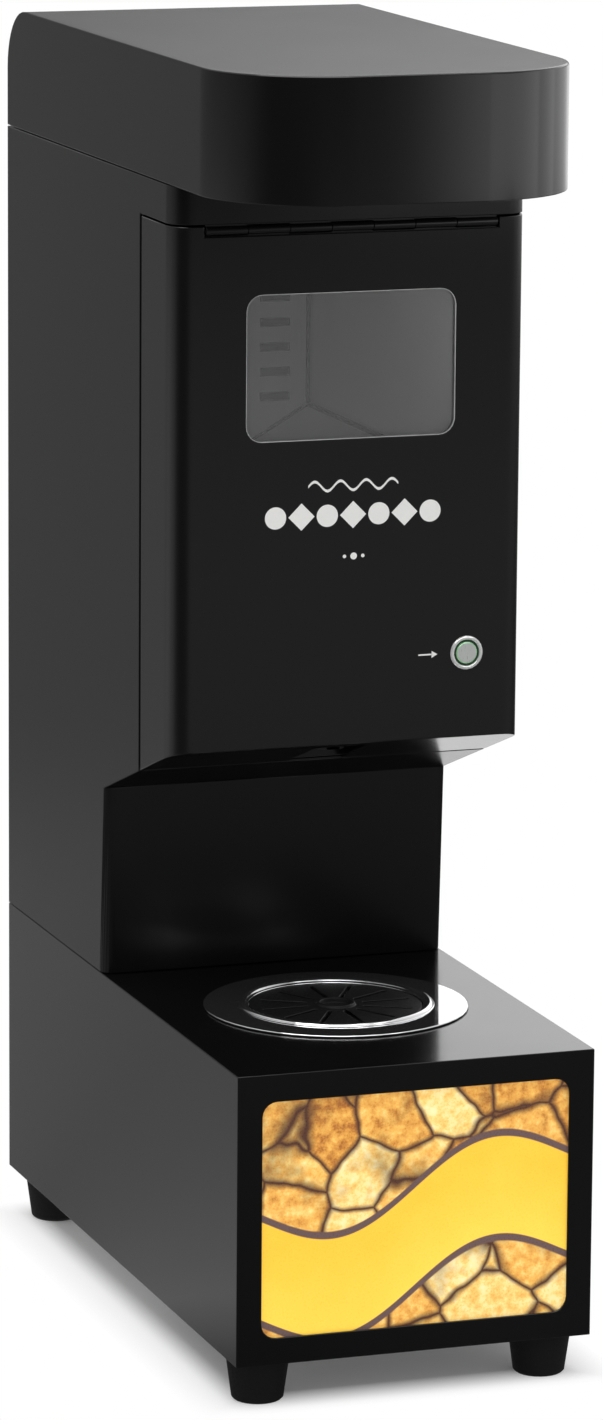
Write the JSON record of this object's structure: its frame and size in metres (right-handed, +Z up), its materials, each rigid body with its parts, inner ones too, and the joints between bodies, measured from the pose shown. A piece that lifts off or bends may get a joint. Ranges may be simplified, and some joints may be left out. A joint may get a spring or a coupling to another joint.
{
  "type": "nacho cheese dispenser",
  "caption": "Slim counter-top warmer that holds a bag of cheese sauce in a heated chamber behind a top-hinged door and pumps it down into a tray over a drip bowl.",
  "frame": {"origin": "centre of the footprint, on the counter", "axes": "+Z up, the front with the door and the picture faces -Y, +X is the right side seen from the front"},
  "size_m": [0.2, 0.42, 0.703],
  "materials": {
    "black_paint": "satin powder coat, black",
    "stainless": "bare mill finish",
    "polished_steel": "polished",
    "zinc_plated": "bright zinc",
    "aluminium": "satin",
    "black_plastic": "matt, moulded",
    "grey_plastic": "matt, moulded",
    "white_plastic": "matt, moulded",
    "foot_rubber": "matt",
    "silicone": "matt",
    "smoked_acrylic": "clear, smoked",
    "sign_print": "translucent print, lit from behind",
    "circuit_board": "lacquered board",
    "green_lens": "tinted lens"
  },
  "bodies": {
    "cabinet": {"base_floor": "zinc_plated", "base_shell": "black_paint", "body_shell": "black_paint", "chamber_liner": "stainless", "chamber_seal": "silicone", "control_board": "circuit_board", "door_magnet_left": "black_plastic", "door_magnet_right": "black_plastic", "fan_frame": "black_plastic", "foot_front_left": "foot_rubber", "foot_front_right": "foot_rubber", "foot_rear_left": "foot_rubber", "foot_rear_right": "foot_rubber", "front_frame": "black_paint", "funnel_floor": "stainless", "heater_element": "stainless", "heater_flange": "stainless", "hinge_fixed_leaf": "zinc_plated", "hinge_pin": "zinc_plated", "power_inlet": "black_plastic", "power_supply": "aluminium", "pump_gearbox": "zinc_plated", "pump_housing": "grey_plastic", "pump_motor": "black_plastic", "rear_panel": "black_paint", "shoe_guide": "stainless", "shoe_spring_lower": "zinc_plated", "shoe_spring_upper": "zinc_plated", "sign_led_board": "white_plastic", "sign_light_box": "white_plastic", "sign_panel": "sign_print", "switch_housing": "black_plastic", "thermostat_disc": "aluminium", "top_cover": "black_paint", "top_cover_plate": "black_paint", "tube_guide": "black_plastic", "wire_loom": "black_plastic"},
    "door": {"door_shell": "black_paint", "door_window": "smoked_acrylic", "window_retainer": "stainless", "hinge_door_leaf": "zinc_plated", "strike_left": "zinc_plated", "strike_right": "zinc_plated", "button_bezel": "polished_steel", "button_light_ring": "green_lens", "button_nut": "zinc_plated", "button_contact_block": "black_plastic", "button_spring": "zinc_plated"},
    "button": {"button_cap": "polished_steel"},
    "bowl": {"drip_bowl": "polished_steel"},
    "grate": {"drip_grate": "black_plastic"},
    "rotor": {"pump_rotor": "white_plastic", "drive_shaft": "stainless"},
    "roller_1": {"pump_roller_1": "grey_plastic"},
    "roller_2": {"pump_roller_2": "grey_plastic"},
    "roller_3": {"pump_roller_3": "grey_plastic"},
    "shoe": {"pump_shoe": "white_plastic"},
    "fan": {"fan_impeller": "black_plastic"},
    "rocker": {"switch_rocker": "black_plastic"}
  },
  "joints": [
    {"name": "door_hinge", "type": "hinge", "parent": "cabinet", "child": "door", "pos_m": [0, -0.0945, 0.6117], "axis": [-1, 0, 0], "range_deg": [0, 95]},
    {"name": "button_press", "type": "slide", "parent": "door", "child": "button", "axis": [0, 1, 0], "range_m": [0, 0.0015], "stiffness_N_per_m": 300, "springref_m": -0.001},
    {"name": "bowl_lift", "type": "slide", "parent": "cabinet", "child": "bowl", "axis": [0, 0, 1], "range_m": [0, 0.05]},
    {"name": "grate_lift", "type": "slide", "parent": "bowl", "child": "grate", "axis": [0, 0, 1], "range_m": [0, 0.04]},
    {"name": "rotor_spin", "type": "hinge", "parent": "cabinet", "child": "rotor", "pos_m": [0.024, -0.065, 0.4], "axis": [0, 1, 0], "continuous": true},
    {"name": "roller_1_spin", "type": "hinge", "parent": "rotor", "child": "roller_1", "pos_m": [0.0055, -0.065, 0.4], "axis": [0, 1, 0], "continuous": true},
    {"name": "roller_2_spin", "type": "hinge", "parent": "rotor", "child": "roller_2", "pos_m": [0.03325, -0.065, 0.38398], "axis": [0, 1, 0], "continuous": true},
    {"name": "roller_3_spin", "type": "hinge", "parent": "rotor", "child": "roller_3", "pos_m": [0.03325, -0.065, 0.41602], "axis": [0, 1, 0], "continuous": true},
    {"name": "shoe_slide", "type": "slide", "parent": "cabinet", "child": "shoe", "axis": [-1, 0, 0], "range_m": [0, 0.012], "stiffness_N_per_m": 800, "springref_m": -0.005},
    {"name": "fan_spin", "type": "hinge", "parent": "cabinet", "child": "fan", "pos_m": [0, 0.1713, 0.532], "axis": [0, 1, 0], "continuous": true},
    {"name": "rocker_tilt", "type": "hinge", "parent": "cabinet", "child": "rocker", "pos_m": [0, 0.2022, 0.228], "axis": [-1, 0, 0], "range_deg": [0, 14]}
  ],
  "couplings": [
    {"joint": "roller_1_spin", "follows": "rotor_spin", "ratio": -3.6429},
    {"joint": "roller_2_spin", "follows": "rotor_spin", "ratio": -3.6429},
    {"joint": "roller_3_spin", "follows": "rotor_spin", "ratio": -3.6429}
  ]
}
